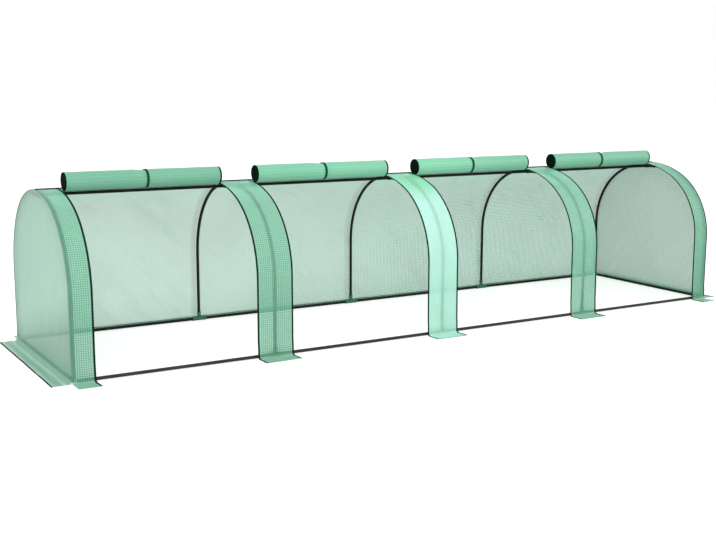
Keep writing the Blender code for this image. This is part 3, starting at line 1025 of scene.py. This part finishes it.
class RollLine:
    """Where a rolled window lies, and how its turns and its strap go round."""

    PINCH = 0.045
    CUSHION = 0.0010

    def __init__(self, sizes):
        bend = sizes.half_width - sizes.crown_half_width
        reach = bend + sizes.tube_radius + sizes.film_gap
        away = Vector((-sizes.crown_half_width, sizes.crest_height - sizes.ridge_height + bend))
        slope = math.atan2(away.y, away.x) - math.acos(reach / away.length)
        self.down = Vector((0, -math.sin(slope), -math.cos(slope)))
        self.out = Vector((0, -math.cos(slope), math.sin(slope)))
        self.crest = Vector((0, 0, sizes.crest_height))
        self.contact = self.crest + self.down * sizes.roll_setback + self.out * self.CUSHION
        self.radius = sizes.roll_radius - 0.0005
        self.centre = self.contact + self.out * self.radius
        self.turns = (sizes.roll_radius - sizes.roll_core) / sizes.roll_pitch
        self.pitch = sizes.roll_pitch
        self.length = 2 * math.pi * self.turns * (self.radius - self.pitch * self.turns / 2)

    def spoke(self, angle):
        return self.down * math.sin(angle) - self.out * math.cos(angle)

    def squeeze(self, x, angle):
        """How much a roll draws in: at its strap, and a little here and there."""
        pinch = self.PINCH * math.exp(-(x / 0.034) ** 4)
        lumps = wave(x * 7, math.cos(angle), math.sin(angle)) * 0.014
        return 1 - pinch - 0.012 * (x / 0.4) ** 2 + lumps * ease(abs(x) / 0.05)

    def point(self, x, turn, rise=0.0):
        """Point on the spiral after some turns, at x from the middle of the window."""
        angle = 2 * math.pi * turn
        place = self.centre + self.spoke(angle) * (self.radius - self.pitch * turn + rise)
        place = self.contact + (place - self.contact) * self.squeeze(x, angle)
        return place + Vector((x, 0, 0))


class TUNNEL_OT_rolls(TunnelOperator):
    """Roll up each window's film, with its black tape wound in at both ends"""

    bl_idname = "tunnel.rolls"
    bl_label = "Rolled windows"

    STEPS_PER_TURN = 32
    # How far each roll lies to the right of its window's middle, and how much painted light each
    # of its two ends carries, most near the middle hoop
    ASIDE = (0.0048, 0.0010, -0.0059, -0.0070)
    PALENESS = ((0.0, 0.0), (0.56, 0.66), (0.96, 0.28), (0.16, 0.06))

    def make(self, sizes, colours):
        roll = RollLine(sizes)
        open_film = film_material("window_film", colours.band, sizes, 0.34, 0.56)
        # The coil colour is a darker copy of the tape: painted shade on the roll's ends
        tape = webbing_material("rolled_tape", colours.coil, 0.0012, 0.02)
        reach = window_half_width(sizes)
        half = sizes.roll_half_length
        rows = round(roll.turns * self.STEPS_PER_TURN)
        for number, middle in enumerate(bay_places(sizes), 1):
            body = f"window_{number}"
            aside = own(self.ASIDE, number)
            shift = Vector((middle + aside, 0, 0))
            left, right = (mixed_shade(colours.roll, colours.bright_roll, pale)
                           for pale in own(self.PALENESS, number))
            film = film_material(f"rolled_film_{number}", left, sizes, 0.0, 0.12,
                                 [("X", -0.75 * half, 0.75 * half, right)],
                                 through=0.12, wrinkles=0.35, slant=0.06)

            def wound(across, along):
                # The left end covers its tape, and the right end leaves it showing
                x = (half - 0.0095) - across * (2 * half - 0.0150)
                spot = roll.point(x + 0.011 * math.sin(number), roll.turns * along)
                spot.x = x
                return spot + shift, (x, roll.length * along)

            sheet = lay_sheet(f"rolled_film_{number}", 44, rows, wound)
            for side, word in END_WORDS.items():
                def coil(across, along):
                    x = side * (half - 0.010 * (1 - across if side > 0 else across))
                    spot = roll.point(x, roll.turns * along, -0.0024)
                    return spot + shift, (x, roll.length * along)

                hem_strip(f"tape_coil_{word}_{number}", coil, 1, rows, tape,
                                      "zip_tape", body, 0.0044)

            def hanging(across, along):
                run = sizes.tape_width + 0.002
                settled = uneased(along)
                mark = run + (sizes.roll_setback - run) * settled
                # The window's full width almost down to the roll
                narrow = settled ** 6
                x = (1 - 2 * across) * (reach + (half - reach) * narrow) + aside * narrow
                rise = 0.0008 + (roll.CUSHION - 0.0008) * ease(settled)
                spot = roll.crest + roll.down * mark + roll.out * rise
                return spot + Vector((x + middle, 0, 0)), (x, along * roll.length)

            drop = lay_sheet(f"window_drop_{number}", 24, 36, hanging)
            paint(drop, open_film)
            start, end = hanging(0.5, 0.0)[0], hanging(0.5, 1.0)[0]
            end.x = start.x
            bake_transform(drop)
            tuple(start)
            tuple(end)
            fit(sheet, film, "front_film", body, f"rolled_window_{number}")


class TUNNEL_OT_straps(TunnelOperator):
    """Tie each roll with a strap of webbing, drawn tight and sewn back on itself"""

    bl_idname = "tunnel.straps"
    bl_label = "Straps"

    WRAP_STEPS = 48
    # How far each strap lies to the right of its window's middle
    ASIDE = (0.013, 0.007, -0.019, -0.022)

    def strap_line(self, sizes, roll):
        """Points of the strap from the crest, over the roll and back underneath it."""
        over = roll.crest + roll.down * (sizes.tape_width + 0.0006) + roll.out * 0.0034
        shrink = 1 - roll.PINCH
        centre = roll.contact + (roll.centre - roll.contact) * shrink
        reach = roll.radius * shrink + 0.0014
        away = over - centre
        bearing = math.atan2(away.dot(roll.down), -away.dot(roll.out))
        spread = math.acos(min(1.0, reach / away.length))
        start = bearing + 2 * math.pi - spread if bearing < 0 else bearing - spread
        points = [over]
        for step in range(self.WRAP_STEPS + 1):
            spoke = roll.spoke(start * (1 - step / self.WRAP_STEPS))
            if spoke.dot(roll.out) < -0.97:
                break
            points.append(centre + spoke * reach)
        return points

    def make(self, sizes, colours):
        roll = RollLine(sizes)
        webbing = webbing_material("strap_webbing", colours.strap, 0.0022)
        points = self.strap_line(sizes, roll)
        marks = measured(points)
        end = marks[-1]
        for number, middle in enumerate(bay_places(sizes), 1):
            body = f"window_{number}"
            aside = own(self.ASIDE, number)

            def wrapped(across, along, first=0.0, last=end, width=sizes.strap_width, rise=0.0):
                mark = first + (last - first) * along
                index, share = found(marks, mark)
                spot = points[index - 1].lerp(points[index], share)
                spot = spot + (spot - roll.centre).normalized() * rise
                x = width * (across - 0.5)
                return spot + Vector((x + middle + aside, 0, 0)), (x, mark)

            def lapped(across, along):
                return wrapped(across, along, end * 0.62, end * 0.90,
                               sizes.strap_width * 0.94, 0.0015)

            hem_strip(f"strap_{number}", wrapped, 4, 80, webbing, "tie_strap", body, 0.0014,
                      f"window_tie_{number}")
            hem_strip(f"strap_lap_{number}", lapped, 4, 24, webbing, "tie_strap", body, 0.0013)


class TUNNEL_OT_stage(TunnelOperator):
    """Set the pale floor, the soft lights and the camera"""

    bl_idname = "tunnel.stage"
    bl_label = "Stage"

    CAMERA_PLACE = (-3.2963, -5.1461, 1.3084)
    AZIMUTH = 30.744
    DIP = 9.600
    ROLL = 0.163
    LENS = 54.564

    def floor_material(self):
        """Pale floor that keeps the object's shadow on a white ground."""
        material, wire, spot = new_material("pale_floor", "Object")
        mottle = wire.speckle(spot, 3.0, 4.0).between(0.3, 0.7)
        tint = wire.colours(mottle, (0.80, 0.80, 0.80), (0.82, 0.82, 0.82))
        seen = wire.principled((0.50, 0.50, 0.50), 1.0)
        white = wire.add("ShaderNodeEmission", values={"Color": WHITE, "Strength": 0.62})
        lit = wire.add("ShaderNodeAddShader", values={0: seen, 1: white})
        rays = wire.add("ShaderNodeLightPath")
        straight = rays.pick("Is Camera Ray").math("MAXIMUM", rays.pick("Is Transmission Ray"))
        wire.show(wire.shaders(straight, wire.principled(tint, 0.9), lit))
        return material

    def light(self, name, place, target, watts):
        lamp = bpy.data.lights.new(name, "AREA")
        lamp.shape = "SQUARE"
        lamp.size = 5.0
        lamp.energy = watts
        fitting = bpy.data.objects.new(name, lamp)
        aim = Vector(target) - Vector(place)
        fitting.location = place
        fitting.rotation_euler = aim.to_track_quat("-Z", "Y").to_euler()
        bpy.context.scene.collection.objects.link(fitting)

    def camera(self):
        azimuth, dip = math.radians(self.AZIMUTH), math.radians(self.DIP)
        forward = Vector((math.sin(azimuth) * math.cos(dip), math.cos(azimuth) * math.cos(dip),
                          -math.sin(dip)))
        right = Vector((math.cos(azimuth), -math.sin(azimuth), 0))
        upright = right.cross(forward)
        turn = Matrix((right, upright, -forward)).transposed().to_4x4()
        turn = turn @ Matrix.Rotation(math.radians(self.ROLL), 4, "Z")
        lens = bpy.data.cameras.new("photo_camera")
        lens.lens = self.LENS
        lens.sensor_width = 36.0
        lens.clip_end = 200.0
        camera = bpy.data.objects.new("photo_camera", lens)
        camera.matrix_world = Matrix.Translation(self.CAMERA_PLACE) @ turn
        bpy.context.scene.collection.objects.link(camera)
        bpy.context.scene.camera = camera

    def sky(self):
        world = bpy.data.worlds.new("studio")
        wire = cleared(world)
        rays = wire.add("ShaderNodeLightPath")
        seen = rays.pick("Is Camera Ray").math("MAXIMUM", rays.pick("Is Transmission Ray"))
        seen = seen.math("MAXIMUM", rays.pick("Is Glossy Ray"))
        soft, white = (wire.add("ShaderNodeBackground", values={"Color": WHITE, "Strength": power})
                       for power in (1.07, 1.0))
        wire.show(wire.shaders(seen, soft, white), "ShaderNodeOutputWorld")
        bpy.context.scene.world = world

    def make(self, sizes, colours):
        floor = settle(primitive("plane", "studio_floor", size=120, location=(0, 0, 0)))
        paint(floor, self.floor_material())
        self.light("key_light", (-4.5, -5.5, 5.5), (0, 0, 0.3), 230.0)
        self.light("fill_light", (5.0, -4.5, 4.0), (0.5, 0, 0.3), 120.0)
        self.camera()
        self.sky()
        bpy.context.scene.view_settings.view_transform = "Standard"


MAKERS = (TUNNEL_OT_stage, TUNNEL_OT_tubes, TUNNEL_OT_joints, TUNNEL_OT_back_cover,
          TUNNEL_OT_bands, TUNNEL_OT_end_panels, TUNNEL_OT_zips, TUNNEL_OT_rolls,
          TUNNEL_OT_straps)


class TUNNEL_PT_panel(bpy.types.Panel):
    """Lists the tunnel's sizes, colours and the makers of its pieces"""

    bl_idname = "TUNNEL_PT_panel"
    bl_label = "Row cover tunnel"
    bl_space_type = "VIEW_3D"
    bl_region_type = "UI"
    bl_category = "Row Cover"

    def draw(self, context):
        for group in (context.scene.tunnel_sizes, context.scene.tunnel_colours):
            box = self.layout.box()
            for name in type(group).__annotations__:
                box.prop(group, name, text=name.replace("_", " ").capitalize())
        for maker in MAKERS:
            self.layout.operator(maker.bl_idname)


CLASSES = (TunnelSizes, TunnelColours, *MAKERS, TUNNEL_PT_panel)


def register():
    for item in CLASSES:
        bpy.utils.register_class(item)
    bpy.types.Scene.tunnel_sizes = PointerProperty(type=TunnelSizes)
    bpy.types.Scene.tunnel_colours = PointerProperty(type=TunnelColours)


def unregister():
    del bpy.types.Scene.tunnel_colours
    del bpy.types.Scene.tunnel_sizes
    for item in reversed(CLASSES):
        bpy.utils.unregister_class(item)


def main():
    register()
    for maker in MAKERS:
        family, action = maker.bl_idname.split(".")
        getattr(getattr(bpy.ops, family), action)()


if __name__ == "__main__":
    main()
